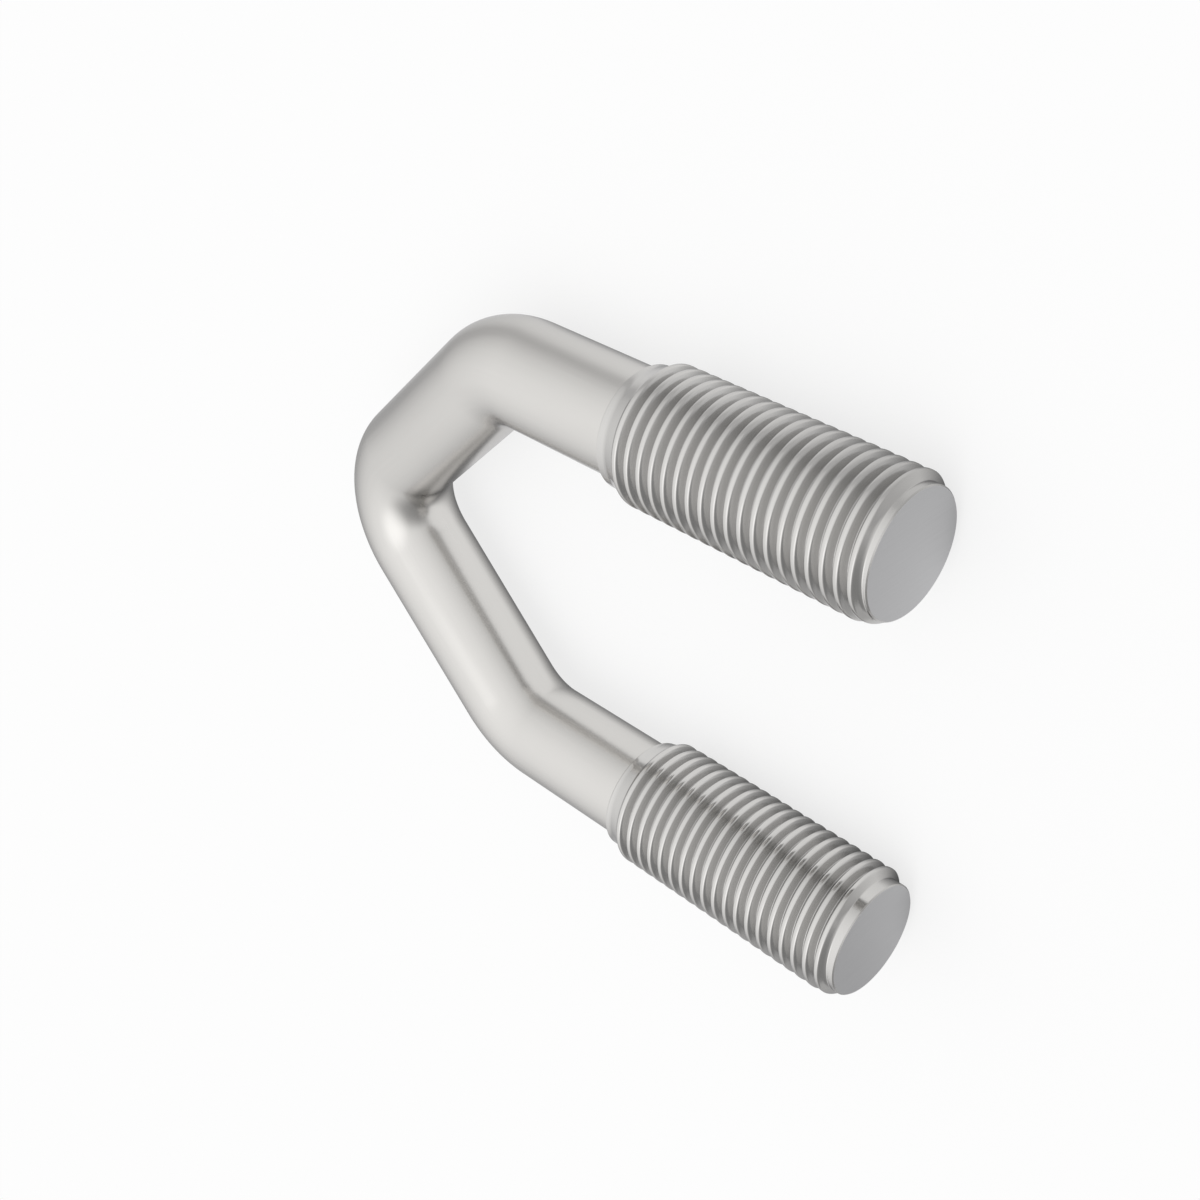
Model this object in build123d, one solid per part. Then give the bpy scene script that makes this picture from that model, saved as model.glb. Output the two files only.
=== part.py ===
from build123d import *
import os
from math import radians, sin, tan

# V-bolt: one steel rod bent to a vee, with a thread on each of its two legs.
# It lies flat: the rod's middle plane is level, the legs run along +Y and the vee points to -Y.
# The origin is below the middle of the bolt, on the surface it lies on. Sizes are in millimetres.

# Bent rod
shank_diameter = 9.4
leg_spacing = 38.5  # between the axes of the two legs
leg_length = 41.95  # from a shoulder, where the axes of leg and slope cross, to the leg's end
vee_angle = 90.0  # between the two slopes, in degrees
bend_radius = 7.7  # of the rod's centre line, the same at the tip and at both shoulders

# Threaded end of a leg
thread_diameter = 11.85  # over the crests
thread_depth = 0.695  # from the crests to the core
thread_length = 23.9
collar_length = 1.43  # bare core between the shank and the thread
tip_length = 0.7  # bare core between the thread and the end face
edge_chamfer = 0.1  # round the collar's edge and the end face
runout_angle = 45.0  # of the cone that ends the thread at each side, from the leg's axis

core_radius = thread_diameter / 2 - thread_depth
blank_length = collar_length + thread_length + tip_length


def shoulder_height():
    """Y of the two shoulders, from the crossing of the two slopes' axes."""
    return leg_spacing / 2 / tan(radians(vee_angle / 2))


def leg_end():
    """Y of the two end faces, from the same crossing."""
    return shoulder_height() + leg_length


def tip_of_vee():
    """Y of the outside of the bend between the slopes, from the same crossing."""
    bend_centre = bend_radius / sin(radians(vee_angle / 2))
    return bend_centre - bend_radius - shank_diameter / 2


def lying_height():
    """Height of the rod's middle plane when the thickest part of the bolt lies on z = 0."""
    return max(thread_diameter, shank_diameter) / 2


def rod_path():
    """Centre line of the plain rod, from one threaded end round the vee to the other."""
    side = leg_spacing / 2
    collar = leg_end() - blank_length
    corners = [
        (-side, collar),
        (-side, shoulder_height()),
        (0, 0),
        (side, shoulder_height()),
        (side, collar),
    ]
    return FilletPolyline(*corners, radius=bend_radius)


def bent_rod():
    """The plain rod: its round section carried along the centre line."""
    path = rod_path()
    section = Plane(origin=path @ 0, z_dir=path % 0) * Circle(shank_diameter / 2)
    return sweep(section, path=path)


def threaded_end():
    """One leg's threaded end about the Z axis, from the foot of its collar (z = 0) to the end face.

    The thread is the cylinder over its crests, with a cone down to the core at each end.
    """
    crest_radius = thread_diameter / 2
    runout = thread_depth / tan(radians(runout_angle))
    thread_top = collar_length + thread_length
    half_section = Polyline(
        (0, 0),
        (core_radius - edge_chamfer, 0),
        (core_radius, edge_chamfer),
        (core_radius, collar_length),
        (crest_radius, collar_length + runout),
        (crest_radius, thread_top - runout),
        (core_radius, thread_top),
        (core_radius, blank_length - edge_chamfer),
        (core_radius - edge_chamfer, blank_length),
        (0, blank_length),
        close=True,
    )
    return revolve(Plane.XZ * make_face(half_section), axis=Axis.Z)


def v_bolt():
    """The whole bolt, lying on z = 0 with its middle over the origin."""
    bolt = bent_rod()
    for side in (-1, 1):
        collar = (side * leg_spacing / 2, leg_end() - blank_length, 0)
        bolt += Location(collar, (-90, 0, 0)) * threaded_end()
    middle = (tip_of_vee() + leg_end()) / 2
    return Pos(0, -middle, lying_height()) * bolt


os.makedirs("parts", exist_ok=True)
export_step(v_bolt(), "parts/v_bolt.step")
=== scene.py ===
"""A bright steel v-bolt: a round rod bent to a right-angled vee, with a rolled thread on each leg.

It lies flat on a plain pale floor, legs along +Y, and the camera looks down on it. Lengths are in
metres.
"""

import logging
import math
from dataclasses import dataclass, field, replace
from enum import IntEnum
from typing import Iterable, Sequence

import bmesh
import bpy
from mathutils import Matrix, Vector


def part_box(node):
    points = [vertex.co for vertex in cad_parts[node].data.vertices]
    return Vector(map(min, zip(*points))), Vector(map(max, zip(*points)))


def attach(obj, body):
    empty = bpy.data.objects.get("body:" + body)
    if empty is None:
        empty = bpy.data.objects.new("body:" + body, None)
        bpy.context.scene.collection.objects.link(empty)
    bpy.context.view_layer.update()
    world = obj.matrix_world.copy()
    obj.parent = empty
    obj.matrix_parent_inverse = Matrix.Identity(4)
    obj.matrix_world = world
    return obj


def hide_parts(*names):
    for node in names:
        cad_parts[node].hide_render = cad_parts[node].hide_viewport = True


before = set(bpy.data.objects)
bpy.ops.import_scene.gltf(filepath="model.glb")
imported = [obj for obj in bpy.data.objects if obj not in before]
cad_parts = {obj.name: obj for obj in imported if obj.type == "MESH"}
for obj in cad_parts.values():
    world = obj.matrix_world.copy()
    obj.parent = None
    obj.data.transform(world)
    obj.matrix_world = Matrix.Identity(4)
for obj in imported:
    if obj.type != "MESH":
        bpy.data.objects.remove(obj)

logging.basicConfig(level=logging.INFO, format="%(message)s")
log = logging.getLogger("v_bolt")

MM = 0.001
STRAIGHT_PLACE = "straight_place"  # where each point lay before the rod was bent, rod along Z
# The groove's depth darkens the thread's colour, as painted shade in the grooves
GROOVE_DEPTH = "groove_depth"  # 0 on the bare rod and the crests, 1 in the root of the thread
NOISE_RANGE = (0.3, 0.7)  # where nearly all of a noise's values lie
Edges = list[bmesh.types.BMEdge]


class Surface(IntEnum):
    """The bolt's finishes, in the order of its material slots."""

    DRAWN = 0
    ROLLED = 1
    CUT = 2


class Leg(IntEnum):
    """The bolt's legs, by the side of the middle that they are on."""

    LEFT = -1
    RIGHT = 1


class NodeBench:
    """Adds and wires the nodes of one material or world."""

    def __init__(self, tree: bpy.types.NodeTree) -> None:
        """Start from an empty tree.

        Args:
            tree: The node tree to fill.
        """
        self.tree = tree
        tree.nodes.clear()

    def add(self, kind: str, **settings: object) -> bpy.types.Node:
        """Add a node.

        Args:
            kind: Blender's name of the node's type.
            settings: The node's own properties, such as operation.

        Returns:
            The new node.
        """
        node = self.tree.nodes.new(kind)
        for name, value in settings.items():
            setattr(node, name, value)
        return node

    def wire(self, source: bpy.types.NodeSocket, target: bpy.types.NodeSocket) -> None:
        """Link an output to an input."""
        self.tree.links.new(source, target)

    def math(self, operation: str, *values: float | bpy.types.NodeSocket) -> bpy.types.NodeSocket:
        """Add a Math node.

        Args:
            operation: The node's operation.
            values: A number or an output for each of its inputs.

        Returns:
            The node's output.
        """
        node = self.add("ShaderNodeMath", operation=operation)
        for socket, value in zip(node.inputs, values):
            if isinstance(value, bpy.types.NodeSocket):
                self.wire(value, socket)
            else:
                socket.default_value = value
        return node.outputs[0]

    def spread(
        self,
        value: bpy.types.NodeSocket,
        source: tuple[float, float],
        target: tuple[float, float],
        smooth: bool = False,
    ) -> bpy.types.NodeSocket:
        """Map one range of a value onto another, clamped at both ends.

        Args:
            value: The output to map.
            source: Its range.
            target: The range to map that onto.
            smooth: Whether the change eases in and out.

        Returns:
            The mapped output.
        """
        change = "SMOOTHSTEP" if smooth else "LINEAR"
        node = self.add("ShaderNodeMapRange", interpolation_type=change)
        self.wire(value, node.inputs["Value"])
        names = ("From Min", "From Max", "To Min", "To Max")
        for name, number in zip(names, (*source, *target)):
            node.inputs[name].default_value = number
        return node.outputs["Result"]

    def noise(
        self,
        place: bpy.types.NodeSocket,
        stretch: Sequence[float],
        size: float,
        detail: float = 3.0,
    ) -> bpy.types.NodeSocket:
        """Add a noise pattern.

        Args:
            place: The coordinates that it follows.
            stretch: How much the pattern is squeezed along each axis.
            size: The width of its features, in metres.
            detail: How many finer octaves it has.

        Returns:
            The noise's value, from 0 to 1.
        """
        mapping = self.add("ShaderNodeMapping")
        self.wire(place, mapping.inputs["Vector"])
        mapping.inputs["Scale"].default_value = stretch
        node = self.add("ShaderNodeTexNoise")
        self.wire(mapping.outputs["Vector"], node.inputs["Vector"])
        node.inputs["Scale"].default_value = 1 / size
        node.inputs["Detail"].default_value = detail
        return node.outputs["Fac"]

    def tones(
        self, factor: bpy.types.NodeSocket, stops: Iterable[tuple[float, Sequence[float]]]
    ) -> bpy.types.NodeSocket:
        """Turn a value into a colour.

        Args:
            factor: The value, from 0 to 1.
            stops: Each place on that range with its red, green and blue.

        Returns:
            The colour output.
        """
        node = self.add("ShaderNodeValToRGB")
        self.wire(factor, node.inputs["Fac"])
        elements = node.color_ramp.elements
        stops = list(stops)
        while len(elements) < len(stops):
            elements.new(1.0)
        for element, (place, colour) in zip(elements, stops):
            element.position = place
            element.color = (*colour, 1.0)
        return node.outputs["Color"]

    def relief(self, height: bpy.types.NodeSocket, depth: float) -> bpy.types.NodeSocket:
        """Add fine relief.

        Args:
            height: The relief's height, from 0 to 1.
            depth: How deep that is, in metres.

        Returns:
            The normal output.
        """
        node = self.add("ShaderNodeBump")
        node.inputs["Strength"].default_value = 1.0
        node.inputs["Distance"].default_value = depth
        self.wire(height, node.inputs["Height"])
        return node.outputs["Normal"]


@dataclass(frozen=True)
class Steel:
    """What the bolt's finishes share: a metal with its pattern made by nodes."""

    name: str = "steel"
    edge_tint: tuple[float, float, float] = (0.72, 0.72, 0.73)

    def material(self) -> bpy.types.Material:
        """Make the material.

        Returns:
            The material, with its nodes.
        """
        made = bpy.data.materials.new(self.name)
        made.use_nodes = True
        bench = NodeBench(made.node_tree)
        shader = bench.add("ShaderNodeBsdfPrincipled")
        shader.inputs["Metallic"].default_value = 1.0
        shader.inputs["Specular Tint"].default_value = (*self.edge_tint, 1.0)
        output = bench.add("ShaderNodeOutputMaterial")
        bench.wire(shader.outputs["BSDF"], output.inputs["Surface"])
        place = bench.add("ShaderNodeAttribute", attribute_name=STRAIGHT_PLACE).outputs["Vector"]
        self.dress(bench, shader, place)
        return made

    def dress(self, bench: NodeBench, shader: bpy.types.Node, place: bpy.types.NodeSocket) -> None:
        """Give the shader its pattern.

        Args:
            bench: The material's nodes.
            shader: Its Principled shader.
            place: Coordinates on the rod before it was bent.
        """
        raise NotImplementedError


@dataclass(frozen=True)
class DrawnSteel(Steel):
    """Cold-drawn and polished rod: soft sheen, faint lines along its length."""

    name: str = "drawn_steel"
    light: tuple[float, float, float] = (0.680, 0.667, 0.647)
    dark: tuple[float, float, float] = (0.635, 0.622, 0.602)
    roughness: tuple[float, float] = (0.21, 0.28)
    line_width: float = 0.12 * MM
    line_stretch: tuple[float, float, float] = (1, 1, 0.012)
    line_detail: float = 4.0
    line_share: float = 0.35  # of the pattern that clouds and lines make together
    line_depth: float = 0.0004 * MM
    cloud_size: float = 7 * MM
    cloud_stretch: tuple[float, float, float] = (1, 1, 0.35)
    cloud_share: float = 0.65

    def dress(self, bench: NodeBench, shader: bpy.types.Node, place: bpy.types.NodeSocket) -> None:
        """Give the shader soft clouds and fine lines.

        Args:
            bench: The material's nodes.
            shader: Its Principled shader.
            place: Coordinates on the rod before it was bent.
        """
        clouds = bench.noise(place, self.cloud_stretch, self.cloud_size)
        lines = bench.noise(place, self.line_stretch, self.line_width, self.line_detail)
        mixed = bench.math(
            "ADD",
            bench.math("MULTIPLY", clouds, self.cloud_share),
            bench.math("MULTIPLY", lines, self.line_share),
        )
        colour = bench.tones(mixed, zip(NOISE_RANGE, (self.dark, self.light)))
        bench.wire(colour, shader.inputs["Base Color"])
        roughness = bench.spread(mixed, NOISE_RANGE, self.roughness)
        bench.wire(roughness, shader.inputs["Roughness"])
        bench.wire(bench.relief(lines, self.line_depth), shader.inputs["Normal"])


@dataclass(frozen=True)
class RolledSteel(Steel):
    """Rolled thread: smoother crests and a rougher root, with the colour darker towards the root
    as painted shade in the grooves.
    """

    name: str = "rolled_steel"
    # Crest, flank and root colours: the darker flank and root are painted shade in the thread's
    # grooves
    crest: tuple[float, float, float] = (0.625, 0.615, 0.600)
    flank: tuple[float, float, float] = (0.550, 0.543, 0.533)
    root: tuple[float, float, float] = (0.520, 0.513, 0.503)
    tone_depths: tuple[float, float, float] = (0.07, 0.18, 0.9)  # groove depth of each tone
    roughness: tuple[float, float] = (0.17, 0.26)  # on the crests and in the root
    roughness_depths: tuple[float, float] = (0.05, 0.6)
    grain_size: float = 0.35 * MM
    grain_stretch: tuple[float, float, float] = (1, 1, 2.5)
    grain_share: float = 0.08  # of the groove's depth, by which the grain moves the tones
    grain_depth: float = 0.001 * MM

    def dress(self, bench: NodeBench, shader: bpy.types.Node, place: bpy.types.NodeSocket) -> None:
        """Give the shader tones that darken with the groove's depth, as painted shade, and a fine
        grain.

        Args:
            bench: The material's nodes.
            shader: Its Principled shader.
            place: Coordinates on the rod before it was bent.
        """
        groove = bench.add("ShaderNodeAttribute", attribute_name=GROOVE_DEPTH).outputs["Fac"]
        grain = bench.noise(place, self.grain_stretch, self.grain_size)
        centred = bench.math("SUBTRACT", grain, sum(NOISE_RANGE) / 2)
        # The groove's depth, moved a little by the grain, picks the painted shade
        groove_shade_and_grain = bench.math("ADD", groove, bench.math("MULTIPLY", centred, self.grain_share))
        colour = bench.tones(groove_shade_and_grain, zip(self.tone_depths, (self.crest, self.flank, self.root)))
        bench.wire(colour, shader.inputs["Base Color"])
        roughness = bench.spread(groove_shade_and_grain, self.roughness_depths, self.roughness, smooth=True)
        bench.wire(roughness, shader.inputs["Roughness"])
        bench.wire(bench.relief(grain, self.grain_depth), shader.inputs["Normal"])


@dataclass(frozen=True)
class CutSteel(Steel):
    """The cut end of a leg: flat, matt and greyer, with the fine parallel marks of the cut."""

    name: str = "cut_steel"
    light: tuple[float, float, float] = (0.685, 0.685, 0.692)
    dark: tuple[float, float, float] = (0.64, 0.64, 0.647)
    roughness: tuple[float, float] = (0.42, 0.52)
    mark_width: float = 0.14 * MM
    mark_stretch: tuple[float, float, float] = (1, 0.03, 1)
    mark_detail: float = 4.0
    mark_depth: float = 0.002 * MM

    def dress(self, bench: NodeBench, shader: bpy.types.Node, place: bpy.types.NodeSocket) -> None:
        """Give the shader the marks of the cut.

        Args:
            bench: The material's nodes.
            shader: Its Principled shader.
            place: Coordinates on the rod before it was bent.
        """
        marks = bench.noise(place, self.mark_stretch, self.mark_width, self.mark_detail)
        colour = bench.tones(marks, zip(NOISE_RANGE, (self.dark, self.light)))
        bench.wire(colour, shader.inputs["Base Color"])
        roughness = bench.spread(marks, NOISE_RANGE, self.roughness)
        bench.wire(roughness, shader.inputs["Roughness"])
        bench.wire(bench.relief(marks, self.mark_depth), shader.inputs["Normal"])


def eased(share: float) -> float:
    """Make a share's even run from 0 to 1 start and end softly, and hold it between the two."""
    held = max(0.0, min(1.0, share))
    return held * held * (3 - 2 * held)


def points_of(made: Iterable[object]) -> list[bmesh.types.BMVert]:
    """The points among what an operator made."""
    return [part for part in made if isinstance(part, bmesh.types.BMVert)]


def open_edges_of(made: Iterable[object]) -> Edges:
    """The open edges among what an operator made."""
    return [part for part in made if isinstance(part, bmesh.types.BMEdge) and part.is_boundary]


@dataclass
class ThreadForm:
    """One ridge's section: a narrow crest, straight flanks and half a round root on each side."""

    pitch: float = 1.25 * MM
    depth: float = 0.695 * MM
    crest_width: float = 0.38 * MM
    crest_rounding: float = 0.20 * MM
    run_out_length: float = 0.53 * MM
    lead_length: float = 1.85 * MM
    lead_rounding: float = 0.4 * MM
    lead_angle: float = math.radians(17)
    flank_angle: float = math.radians(29)
    crest_steps: int = 4
    root_steps: int = 2
    flank_steps: int = 2

    def half(self) -> list[tuple[float, float]]:
        """Half a ridge, from the middle of its root up to its crest.

        Returns:
            Each point's height above the core and its place along the axis.
        """
        turn = math.pi / 2 - self.flank_angle
        middle = self.pitch / 2
        foot = middle - self.crest_width / 2 - self.depth * math.tan(self.flank_angle)
        root_rounding = foot / math.tan(turn / 2)
        root = []
        for step in range(self.root_steps + 1):
            angle = turn * step / self.root_steps
            root.append((root_rounding * (1 - math.cos(angle)), root_rounding * math.sin(angle)))
        edge = middle - self.crest_width / 2 + self.crest_rounding * math.tan(turn / 2)
        crest = []
        for step in range(self.crest_steps, -1, -1):
            angle = turn * step / self.crest_steps
            drop = self.crest_rounding * (1 - math.cos(angle))
            crest.append((self.depth - drop, edge - self.crest_rounding * math.sin(angle)))
        flank = []
        for step in range(1, self.flank_steps):
            share = step / self.flank_steps
            ends = zip(root[-1], crest[0])
            flank.append(tuple(start + (stop - start) * share for start, stop in ends))
        return root + flank + crest

    def section(self) -> list[tuple[float, float]]:
        """The whole ridge's section, from one root to the next.

        Returns:
            Each point's height above the core and its place along the axis.
        """
        rising = self.half()
        falling = [(height, self.pitch - along) for height, along in reversed(rising)]
        return rising + falling

    def run_out(self, away: float) -> float:
        """The height of the last ridge's side towards the tip: a soft rounding down to the core.

        Args:
            away: How far from the ridge's middle, along the axis.

        Returns:
            The height above the core.
        """
        return self.depth * (1 - eased((away - self.crest_width / 4) / self.run_out_length))

    def lead(self, away: float) -> float:
        """The height of the gentle slope that leads from the collar up to the first ridge.

        Args:
            away: How far from the ridge's middle, along the axis.

        Returns:
            The height above the core.
        """
        along = max(0.0, self.lead_length - away)
        curved = min(along, self.lead_rounding)
        risen = curved * curved / 2 / self.lead_rounding + along - curved
        return math.tan(self.lead_angle) * risen


@dataclass
class ThreadedEnd:
    """A leg's threaded end along +Z from its collar's foot at the origin, open at the shank."""

    form: ThreadForm = field(default_factory=ThreadForm)
    core_radius: float = 5.23 * MM
    shank_radius: float = 4.7 * MM
    collar_length: float = 1.43 * MM
    thread_length: float = 23.9 * MM
    tip_length: float = 0.7 * MM
    edge_chamfer: float = 0.1 * MM
    first_crest: float = 2.425 * MM  # from the collar's foot, on the side at crest_phase
    first_turn: float = -0.25  # the ridge has its full height from here, with 0 at first_crest
    last_turn: float = 18.12  # and up to here
    fade_turns: float = 0.3
    crest_phase: float = math.radians(-128)  # the side that faces the camera
    columns: int = 80  # points round the bolt
    snap: float = 0.001 * MM
    level_slack: float = 0.0011 * MM  # for points that were snapped to a cut
    turn_slack: float = 0.0001  # for points on the border between two ridges

    @property
    def length(self) -> float:
        """From the collar's foot to the end face."""
        return self.collar_length + self.thread_length + self.tip_length

    def build(self) -> bmesh.types.BMesh:
        """Model the end.

        Returns:
            The mesh, with its edge at the shank open.
        """
        bm = self.helix()
        self.fade(bm)
        bottom, top = self.trim(bm)
        self.close_tip(bm, top)
        self.turn_collar(bm, bottom)
        return bm

    def helix(self) -> bmesh.types.BMesh:
        """The thread's surface: one turn, wound by a spin and copied along the axis.

        Returns:
            The mesh, with spare turns at both ends.
        """
        bm = bmesh.new()
        pitch = self.form.pitch
        section = self.form.section()
        points = [bm.verts.new((self.core_radius + height, 0, along)) for height, along in section]
        edges = [bm.edges.new(pair) for pair in zip(points, points[1:])]
        bmesh.ops.spin(
            bm,
            geom=points + edges,
            cent=(0, 0, 0),
            axis=(0, 0, 1),
            dvec=(0, 0, pitch / self.columns),
            angle=math.tau,
            steps=self.columns,
            use_merge=False,
            use_duplicate=False,
        )
        start = self.first_crest - pitch / 2
        lead = self.crest_phase / math.tau * pitch
        lowest = start - lead - pitch * (math.ceil((start - lead) / pitch) + 1)
        bmesh.ops.translate(bm, verts=bm.verts, vec=(0, 0, lowest))
        one_turn = bm.verts[:] + bm.edges[:] + bm.faces[:]
        for number in range(1, math.ceil((self.length - lowest) / pitch) + 1):
            copy = bmesh.ops.duplicate(bm, geom=one_turn)["geom"]
            bmesh.ops.translate(bm, verts=points_of(copy), vec=(0, 0, number * pitch))
        bmesh.ops.remove_doubles(bm, verts=bm.verts, dist=self.snap)
        return bm

    def share(self, ridge: float) -> float:
        """How much of its full height the ridge has.

        Args:
            ridge: The turn, counted from where the crest faces the camera first.

        Returns:
            The share, from 0 to 1.
        """
        outside = max(self.first_turn - ridge, ridge - self.last_turn) / self.fade_turns
        return 1 - eased(outside)

    def fade(self, bm: bmesh.types.BMesh) -> None:
        """Let the ridge rise from the core where the thread starts, and sink back at the tip.

        Args:
            bm: The wound surface.
        """
        groove = bm.verts.layers.float.new(GROOVE_DEPTH)
        start = self.first_crest - self.form.pitch / 2
        for vert in bm.verts:
            radius = math.hypot(vert.co.x, vert.co.y)
            height = radius - self.core_radius
            angle = (math.atan2(vert.co.y, vert.co.x) - self.crest_phase) / math.tau
            turns = (vert.co.z - start) / self.form.pitch
            # The nearest ridge, in turns along the thread, and how far its middle is
            ridge = math.floor(turns - angle + self.turn_slack) + angle
            away = vert.co.z - self.first_crest - ridge * self.form.pitch
            share = self.share(ridge)
            next_share = self.share(ridge + math.copysign(1, away))
            # The groove's depth, by which the thread's colour is darkened as painted shade
            vert[groove] = min(share, next_share) * (1 - height / self.form.depth)
            # Where the next turn is missing, the ridge's side is soft instead of a flank
            side = self.form.run_out(away) if away > 0 else max(height, self.form.lead(-away))
            height = share * (height * next_share + side * (1 - next_share))
            height += (1 - share) * self.share(ridge + 1) * self.form.lead(self.form.pitch - away)
            vert.co.x *= (self.core_radius + height) / radius
            vert.co.y *= (self.core_radius + height) / radius

    def trim(self, bm: bmesh.types.BMesh) -> tuple[Edges, Edges]:
        """Cut the surface square at the chamfers of the collar and the tip.

        Args:
            bm: The wound surface.

        Returns:
            The edges of the lower and the upper cut.
        """
        bottom, top = self.edge_chamfer, self.length - self.edge_chamfer
        for height, outward in ((bottom, (0, 0, -1)), (top, (0, 0, 1))):
            bmesh.ops.bisect_plane(
                bm,
                geom=bm.verts[:] + bm.edges[:] + bm.faces[:],
                dist=self.snap,
                plane_co=(0, 0, height),
                plane_no=outward,
                clear_outer=True,
            )
            self.gather(bm, height)
        return self.rim(bm, bottom), self.rim(bm, top)

    def rim(self, bm: bmesh.types.BMesh, height: float) -> Edges:
        """The round edge of a cut.

        Args:
            bm: The mesh.
            height: The cut's height.

        Returns:
            The open edges that lie at that height.
        """
        level = {vert for vert in bm.verts if abs(vert.co.z - height) < self.level_slack}
        return [edge for edge in bm.edges if edge.is_boundary and level.issuperset(edge.verts)]

    def gather(self, bm: bmesh.types.BMesh, height: float) -> None:
        """Draw a cut's points together, one to a column, so that it can meet the shank.

        Args:
            bm: The mesh.
            height: The cut's height.
        """
        kept: dict[int, bmesh.types.BMVert] = {}
        merged: dict[bmesh.types.BMVert, bmesh.types.BMVert] = {}
        places = []
        for vert in dict.fromkeys(vert for edge in self.rim(bm, height) for vert in edge.verts):
            place = math.atan2(vert.co.y, vert.co.x) / math.tau * self.columns
            places.append((abs(place - round(place)), round(place) % self.columns, vert))
        for _, column, vert in sorted(places, key=lambda item: item[0]):
            if column in kept:
                merged[vert] = kept[column]
            else:
                kept[column] = vert
        bmesh.ops.weld_verts(bm, targetmap=merged)

    def ring(self, bm: bmesh.types.BMesh, edges: Edges, radius: float, height: float) -> Edges:
        """Carry a round edge on to another radius and height.

        Args:
            bm: The mesh.
            edges: The round edge.
            radius: The new edge's radius.
            height: The new edge's height.

        Returns:
            The new edge.
        """
        grown = bmesh.ops.extrude_edge_only(bm, edges=edges)["geom"]
        for vert in points_of(grown):
            flat = Vector((vert.co.x, vert.co.y, 0)).normalized() * radius
            vert.co = (flat.x, flat.y, height)
        return open_edges_of(grown)

    def turn_collar(self, bm: bmesh.types.BMesh, edges: Edges) -> None:
        """Chamfer the collar's edge and turn its face square down to the shank.

        Args:
            bm: The mesh.
            edges: The lower cut.
        """
        edges = self.ring(bm, edges, self.core_radius - self.edge_chamfer, 0.0)
        self.ring(bm, edges, self.shank_radius, 0.0)

    def close_tip(self, bm: bmesh.types.BMesh, edges: Edges) -> None:
        """Chamfer the tip and close it with the flat end face.

        Args:
            bm: The mesh.
            edges: The upper cut.
        """
        edges = self.ring(bm, edges, self.core_radius - self.edge_chamfer, self.length)
        filled = bmesh.ops.edgeloop_fill(bm, edges=edges)
        for face in filled["faces"]:
            face.material_index = Surface.CUT


@dataclass
class RodBender:
    """Forms the plain rod as a bender does: straight runs and bends, one after the other."""

    bm: bmesh.types.BMesh
    radius: float
    columns: int
    degrees_per_step: float = 2.8125
    along: float = 0.0
    heading: Vector = field(default_factory=lambda: Vector((0, -1, 0)))
    middle: Vector = field(default_factory=Vector)
    edge: Edges = field(default_factory=list)

    def start(self, middle: Vector) -> None:
        """Make the rod's open end.

        Args:
            middle: The centre of its round edge.
        """
        self.middle = middle.copy()
        turn = Vector((0, 0, 1)).rotation_difference(self.heading).to_matrix().to_4x4()
        circle = bmesh.ops.create_circle(self.bm, segments=self.columns, radius=self.radius)
        verts = circle["verts"]
        self.remember(verts)
        bmesh.ops.transform(self.bm, verts=verts, matrix=Matrix.Translation(middle) @ turn)
        self.edge = list(dict.fromkeys(edge for vert in verts for edge in vert.link_edges))

    def remember(self, verts: Iterable[bmesh.types.BMVert]) -> None:
        """Note where the points of the first round edge lie on the straight rod.

        Args:
            verts: The points, while they still lie flat about the origin.
        """
        layer = self.bm.verts.layers.float_vector[STRAIGHT_PLACE]
        for vert in verts:
            vert[layer] = (vert.co.x, vert.co.y, self.along)

    def carry_on(self, made: Iterable[object], travelled: float) -> None:
        """Take the new round edge as the open end.

        Args:
            made: What the last step made.
            travelled: The rod's length in that step.
        """
        self.along += travelled
        layer = self.bm.verts.layers.float_vector[STRAIGHT_PLACE]
        for vert in points_of(made):
            vert[layer] = (vert[layer].x, vert[layer].y, self.along)
        self.edge = open_edges_of(made)

    def run(self, length: float) -> None:
        """Form a straight run.

        Args:
            length: Its length.
        """
        made = bmesh.ops.extrude_edge_only(self.bm, edges=self.edge)["geom"]
        bmesh.ops.translate(self.bm, verts=points_of(made), vec=self.heading * length)
        self.middle += self.heading * length
        self.carry_on(made, length)

    def bend(self, angle: float, radius: float) -> None:
        """Form a bend.

        Args:
            angle: How far it turns to the left, seen from above, in radians.
            radius: Of the rod's centre line.
        """
        steps = max(1, round(math.degrees(abs(angle)) / self.degrees_per_step))
        side = Vector((0, 0, 1)).cross(self.heading) * math.copysign(1, angle)
        centre = self.middle + side * radius
        turn = Matrix.Rotation(angle / steps, 3, "Z")
        for _ in range(steps):
            made = bmesh.ops.extrude_edge_only(self.bm, edges=self.edge)["geom"]
            bmesh.ops.rotate(self.bm, verts=points_of(made), cent=centre, matrix=turn)
            self.middle = centre + turn @ (self.middle - centre)
            self.heading = turn @ self.heading
            self.carry_on(made, radius * abs(angle) / steps)


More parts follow.
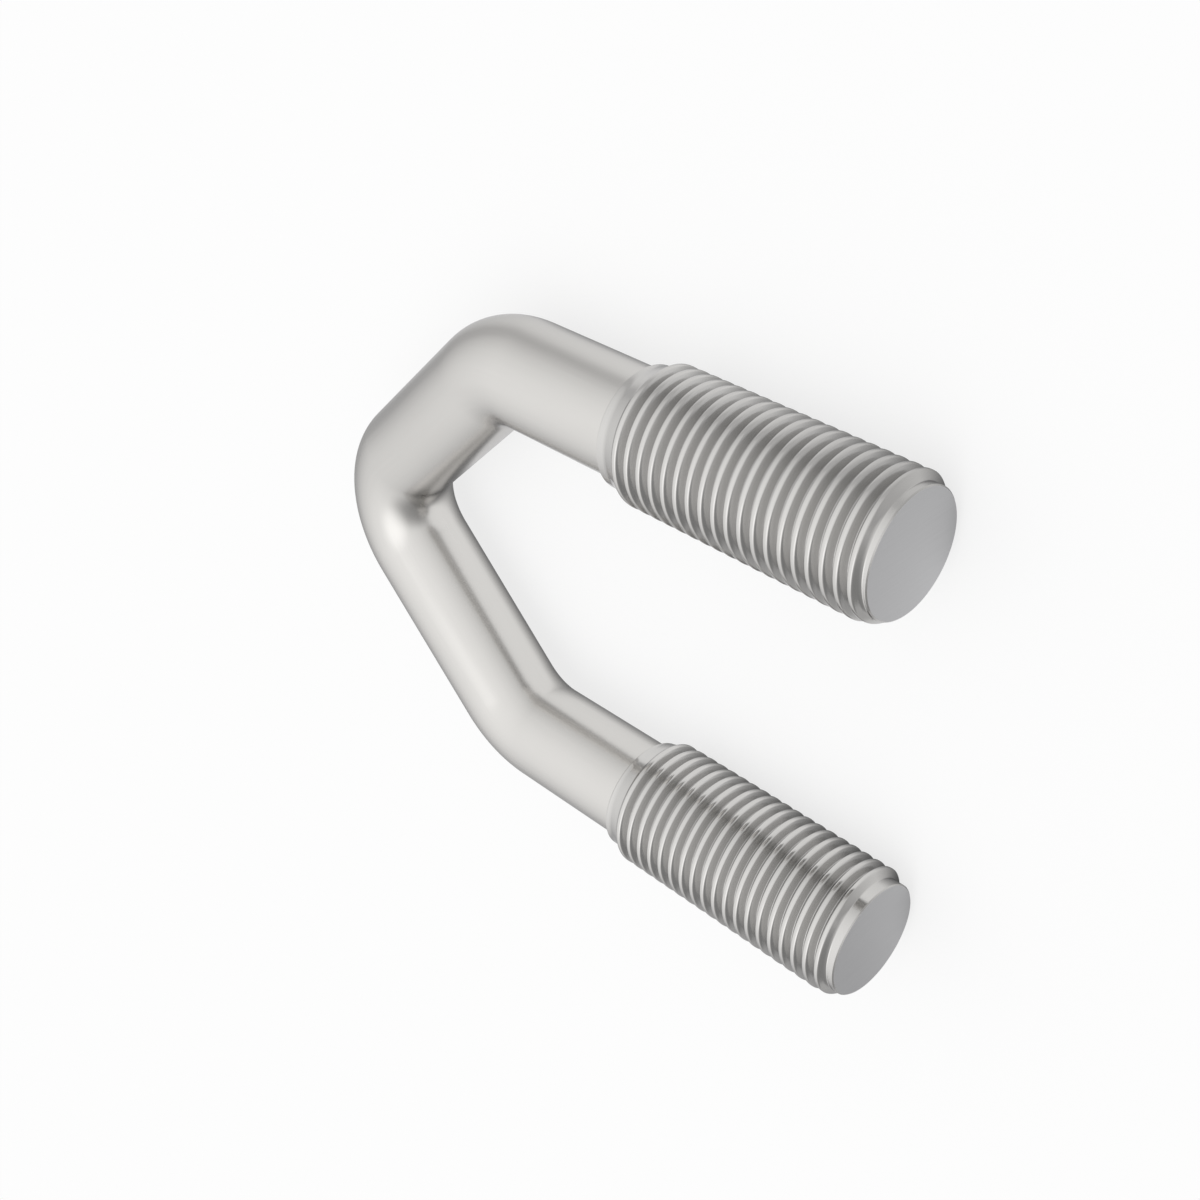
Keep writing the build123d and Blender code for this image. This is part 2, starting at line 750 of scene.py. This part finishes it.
@dataclass
class VBolt:
    """The whole bolt: the bent rod and its two threaded ends, as one closed piece of steel."""

    low: Vector
    high: Vector
    vee_angle: float = math.radians(90)
    bend_radius: float = 7.7 * MM
    right_first_crest: float = 2.115 * MM  # the left leg keeps the threaded end's own
    join_slack: float = 0.005 * MM
    sharp_angle: float = math.radians(38)
    end: ThreadedEnd = field(default_factory=ThreadedEnd)

    @property
    def thread_radius(self) -> float:
        """The crests' radius: the bolt lies on them, so they set its height."""
        return (self.high.z - self.low.z) / 2

    @property
    def side(self) -> float:
        """From the bolt's middle to a leg's axis."""
        return (self.high.x - self.low.x) / 2 - self.thread_radius

    def leg_place(self, leg: Leg) -> Vector:
        """The centre of a leg's section where the shank ends and the collar starts.

        Args:
            leg: Which leg.

        Returns:
            The place.
        """
        collar_foot = self.high.y - self.end.length
        return Vector((leg * self.side, collar_foot, self.low.z + self.thread_radius))

    def lengths(self) -> tuple[float, float]:
        """The straight runs of the rod.

        Returns:
            The length from a collar to its shoulder's bend, and from there to the bend at the tip.
        """
        half_vee = self.vee_angle / 2
        tip_cut = self.bend_radius / math.tan(half_vee)
        shoulder_cut = self.bend_radius * math.tan(half_vee / 2)
        tip_centre = self.low.y + self.end.shank_radius + self.bend_radius
        tip_axis = tip_centre - self.bend_radius / math.sin(half_vee)
        shoulder = tip_axis + self.side / math.tan(half_vee)
        leg = self.high.y - self.end.length - shoulder - shoulder_cut
        slope = self.side / math.sin(half_vee) - tip_cut - shoulder_cut
        return leg, slope

    def bend_rod(self, bm: bmesh.types.BMesh) -> float:
        """Form the plain rod from the left collar to the right one.

        Args:
            bm: The bolt's mesh.

        Returns:
            The rod's length.
        """
        leg, slope = self.lengths()
        half_vee = self.vee_angle / 2
        rod = RodBender(bm, self.end.shank_radius, self.end.columns)
        rod.start(self.leg_place(Leg.LEFT))
        rod.run(leg)
        rod.bend(half_vee, self.bend_radius)
        rod.run(slope)
        rod.bend(math.pi - self.vee_angle, self.bend_radius)
        rod.run(slope)
        rod.bend(half_vee, self.bend_radius)
        rod.run(leg)
        return rod.along

    def add_end(self, bm: bmesh.types.BMesh, leg: Leg, along: float) -> None:
        """Put a threaded end on a leg.

        Args:
            bm: The bolt's mesh.
            leg: Which leg.
            along: Where on the straight rod the end starts.
        """
        right_end = replace(self.end, first_crest=self.right_first_crest)
        made = (self.end if leg == Leg.LEFT else right_end).build()
        layer = made.verts.layers.float_vector.new(STRAIGHT_PLACE)
        for vert in made.verts:
            vert[layer] = (vert.co.x, vert.co.y, along + leg * vert.co.z)
        for face in made.faces:
            if face.material_index != Surface.CUT:
                face.material_index = Surface.ROLLED
        place = Matrix.Translation(self.leg_place(leg)) @ Matrix.Rotation(-math.pi / 2, 4, "X")
        bmesh.ops.transform(made, verts=made.verts, matrix=place)
        spare = bpy.data.meshes.new("threaded_end")
        made.to_mesh(spare)
        made.free()
        bm.from_mesh(spare)
        bpy.data.meshes.remove(spare)

    def join_collars(self, bm: bmesh.types.BMesh, shank_rims: list[bmesh.types.BMVert]) -> None:
        """Join each collar to the shank, so that the bolt is one closed surface.

        Args:
            bm: The bolt's mesh.
            shank_rims: The points of the shank's open ends: they stay, and the collars' go.
        """
        rims = [vert for vert in bm.verts if vert.is_boundary]
        pairs = bmesh.ops.find_doubles(bm, verts=rims, keep_verts=shank_rims, dist=self.join_slack)
        bmesh.ops.weld_verts(bm, targetmap=pairs["targetmap"])

    def build(self) -> bpy.types.Object:
        """Model the bolt.

        Returns:
            Its object, with its finishes.
        """
        bm = bmesh.new()
        bm.verts.layers.float_vector.new(STRAIGHT_PLACE)
        bm.verts.layers.float.new(GROOVE_DEPTH)
        rod_length = self.bend_rod(bm)
        shank_rims = [vert for vert in bm.verts if vert.is_boundary]
        self.add_end(bm, Leg.LEFT, 0.0)
        self.add_end(bm, Leg.RIGHT, rod_length)
        self.join_collars(bm, shank_rims)
        bmesh.ops.recalc_face_normals(bm, faces=bm.faces)
        mesh = bpy.data.meshes.new("v_bolt_steel")
        bm.to_mesh(mesh)
        bm.free()
        mesh.shade_smooth()
        mesh.set_sharp_from_angle(angle=self.sharp_angle)
        finishes = {
            Surface.DRAWN: DrawnSteel(),
            Surface.ROLLED: RolledSteel(),
            Surface.CUT: CutSteel(),
        }
        for surface in Surface:
            mesh.materials.append(finishes[surface].material())
        piece = bpy.data.objects.new("v_bolt_steel", mesh)
        bpy.context.scene.collection.objects.link(piece)
        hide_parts("v_bolt")
        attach(piece, "root")
        return piece


@dataclass
class PaleFloor:
    """The plain white floor that the bolt lies on, with its soft shadow.

    Metal shows it as a painted glow: a painted pool of light that dims far away, painted shade
    towards a patch beyond the legs, and a painted shadow close to the bolt.
    """

    radius: float = 1.6
    sides: int = 96
    albedo: float = 0.9
    own_light: float = 0.75  # share of plain white in what the camera sees
    # The painted light that metal sees on the floor: a pool near the bolt, a shade patch and a
    # contact shadow
    lit_from: tuple[float, float] = (24 * MM, 54 * MM)  # distances from the bolt's middle
    lit_levels: tuple[float, float] = (1.0, 0.60)
    shade_at: tuple[float, float, float] = (10 * MM, 130 * MM, 0.0)
    shade_from: tuple[float, float] = (40 * MM, 125 * MM)  # distances from the shade's middle
    shade_level: float = 0.78
    shadow_reach: float = 3.5 * MM

    def build(self) -> bpy.types.Object:
        """Lay the floor.

        Returns:
            Its object.
        """
        bm = bmesh.new()
        bmesh.ops.create_circle(bm, cap_ends=True, segments=self.sides, radius=self.radius)
        mesh = bpy.data.meshes.new("floor")
        bm.to_mesh(mesh)
        bm.free()
        mesh.materials.append(self.material())
        floor = bpy.data.objects.new("floor", mesh)
        bpy.context.scene.collection.objects.link(floor)
        return floor

    def distance(self, bench: NodeBench, place: Sequence[float]) -> bpy.types.NodeSocket:
        """How far a point of the floor lies from a place on it.

        Args:
            bench: The floor's nodes.
            place: The place.

        Returns:
            The distance, as an output.
        """
        node = bench.add("ShaderNodeVectorMath", operation="DISTANCE")
        bench.wire(bench.add("ShaderNodeTexCoord").outputs["Object"], node.inputs[0])
        node.inputs[1].default_value = place
        return node.outputs["Value"]

    def material(self) -> bpy.types.Material:
        """White paper: matt, lifted to white for the camera, and shown in metal as a painted lit
        patch with painted shade and shadow.

        Returns:
            The material, with its nodes.
        """
        made = bpy.data.materials.new("white_paper")
        made.use_nodes = True
        bench = NodeBench(made.node_tree)
        matt = bench.add("ShaderNodeBsdfDiffuse")
        matt.inputs["Color"].default_value = (self.albedo, self.albedo, self.albedo, 1)
        glow = bench.add("ShaderNodeEmission")
        glow.inputs["Color"].default_value = (1, 1, 1, 1)
        path = bench.add("ShaderNodeLightPath")
        camera = path.outputs["Is Camera Ray"]
        glossy, clear = path.outputs["Is Glossy Ray"], path.outputs["Is Transmission Ray"]
        metal = bench.math("MAXIMUM", glossy, clear)
        # A painted pool of light: in metal the floor glows brighter near the bolt's middle and
        # dimmer far away
        away = self.distance(bench, (0, 0, 0))
        lit = bench.spread(away, self.lit_from, self.lit_levels, smooth=True)
        # Painted shade: in metal the floor glows dimmer towards a patch beyond the legs
        away = self.distance(bench, self.shade_at)
        shade = bench.spread(away, self.shade_from, (self.shade_level, 1.0), smooth=True)
        # A painted contact shadow: in metal the floor's glow dims close to the bolt
        shadow = bench.add("ShaderNodeAmbientOcclusion")
        shadow.inputs["Distance"].default_value = self.shadow_reach
        level = bench.math("MULTIPLY", lit, shade)
        seen_in_metal = bench.math("MULTIPLY", level, shadow.outputs["AO"])
        bench.wire(bench.math("MAXIMUM", camera, seen_in_metal), glow.inputs["Strength"])
        share = bench.math("MULTIPLY_ADD", camera, self.own_light, metal)
        mix = bench.add("ShaderNodeMixShader")
        bench.wire(share, mix.inputs["Fac"])
        bench.wire(matt.outputs["BSDF"], mix.inputs[1])
        bench.wire(glow.outputs["Emission"], mix.inputs[2])
        output = bench.add("ShaderNodeOutputMaterial")
        bench.wire(mix.outputs["Shader"], output.inputs["Surface"])
        return made


def direction(azimuth: float, elevation: float) -> Vector:
    """The unit vector to a place in the room.

    Args:
        azimuth: Its angle from +X towards +Y, in degrees.
        elevation: Its angle above the floor, in degrees.

    Returns:
        The vector.
    """
    around, above = math.radians(azimuth), math.radians(elevation)
    level = math.cos(above)
    return Vector((level * math.cos(around), level * math.sin(around), math.sin(above)))


@dataclass
class StudioLight:
    """A pale room, dimmer at the horizon, with a soft glow above and a grey screen beyond +Y.

    Places in it are an azimuth and an elevation, and radii are angles, all in degrees.
    """

    sky: tuple[tuple[float, float], ...] = (  # a direction's Z, and the light from there
        (0.0, 0.70),
        (0.12, 0.76),
        (0.37, 0.92),
        (0.8, 1.10),
        (1.0, 1.16),
    )
    glow_from: tuple[float, float] = (50.0, 64.0)
    glow_radius: float = 34.0
    glow_strength: float = 0.38
    screen_from: tuple[float, float] = (48.0, 4.0)
    screen_radius: float = 60.0
    screen_share: float = 0.62  # of the light that the screen keeps off

    def patch(
        self,
        bench: NodeBench,
        view: bpy.types.NodeSocket,
        place: tuple[float, float],
        radius: float,
    ) -> bpy.types.NodeSocket:
        """A round soft patch of the room.

        Args:
            bench: The world's nodes.
            view: The direction looked in.
            place: The patch's azimuth and elevation, in degrees.
            radius: How far it reaches, in degrees.

        Returns:
            1 in its middle, fading to 0 at its radius.
        """
        node = bench.add("ShaderNodeVectorMath", operation="DOT_PRODUCT")
        bench.wire(view, node.inputs[0])
        node.inputs[1].default_value = direction(*place)
        border = math.cos(math.radians(radius))
        return bench.spread(node.outputs["Value"], (border, 1.0), (0.0, 1.0), smooth=True)

    def build(self) -> None:
        """Light the scene."""
        world = bpy.data.worlds.new("pale_room")
        bpy.context.scene.world = world
        world.use_nodes = True
        bench = NodeBench(world.node_tree)
        view = bench.add("ShaderNodeTexCoord").outputs["Generated"]
        split = bench.add("ShaderNodeSeparateXYZ")
        bench.wire(view, split.inputs["Vector"])
        peak = max(level for _, level in self.sky)
        greys = [(height, [level / peak] * 3) for height, level in self.sky]
        sky = bench.tones(split.outputs["Z"], greys)
        screen = self.patch(bench, view, self.screen_from, self.screen_radius)
        glow = self.patch(bench, view, self.glow_from, self.glow_radius)
        strength = bench.math("MULTIPLY_ADD", screen, -self.screen_share * peak, peak)
        strength = bench.math("MULTIPLY_ADD", glow, self.glow_strength, strength)
        background = bench.add("ShaderNodeBackground")
        bench.wire(sky, background.inputs["Color"])
        bench.wire(strength, background.inputs["Strength"])
        output = bench.add("ShaderNodeOutputWorld")
        bench.wire(background.outputs["Background"], output.inputs["Surface"])


@dataclass
class PhotoCamera:
    """The photograph's camera: it looks down on the bolt from beyond the left leg's end."""

    aim: Vector
    azimuth: float = 134.85  # degrees
    elevation: float = 34.5  # degrees
    roll: float = math.radians(-120.91)
    distance: float = 146.6 * MM
    lens_mm: float = 50.55
    sensor_mm: float = 36.0
    clip: tuple[float, float] = (1 * MM, 10.0)  # nearest and farthest that it sees

    def build(self) -> bpy.types.Object:
        """Set up the camera.

        Returns:
            Its object.
        """
        data = bpy.data.cameras.new("photo_camera")
        data.sensor_width = self.sensor_mm
        data.lens = self.lens_mm
        data.clip_start, data.clip_end = self.clip
        camera = bpy.data.objects.new("photo_camera", data)
        back = direction(self.azimuth, self.elevation)
        level = back.to_track_quat("Z", "Y").to_matrix().to_4x4()
        place = Matrix.Translation(self.aim + back * self.distance)
        camera.matrix_world = place @ level @ Matrix.Rotation(self.roll, 4, "Z")
        bpy.context.scene.collection.objects.link(camera)
        bpy.context.scene.camera = camera
        return camera


def main() -> None:
    """Build the bolt, its floor, light and camera, and log the bolt's number of faces."""
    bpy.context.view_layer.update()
    low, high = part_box("v_bolt")
    piece = VBolt(low, high).build()
    log.info("%s: %d faces", piece.name, len(piece.data.polygons))
    floor = PaleFloor().build()
    log.info("%s laid", floor.name)
    StudioLight().build()
    camera = PhotoCamera(aim=(low + high) / 2).build()
    log.info("%s set up", camera.name)
    bpy.context.scene.view_settings.view_transform = "Standard"


if __name__ == "__main__":
    main()
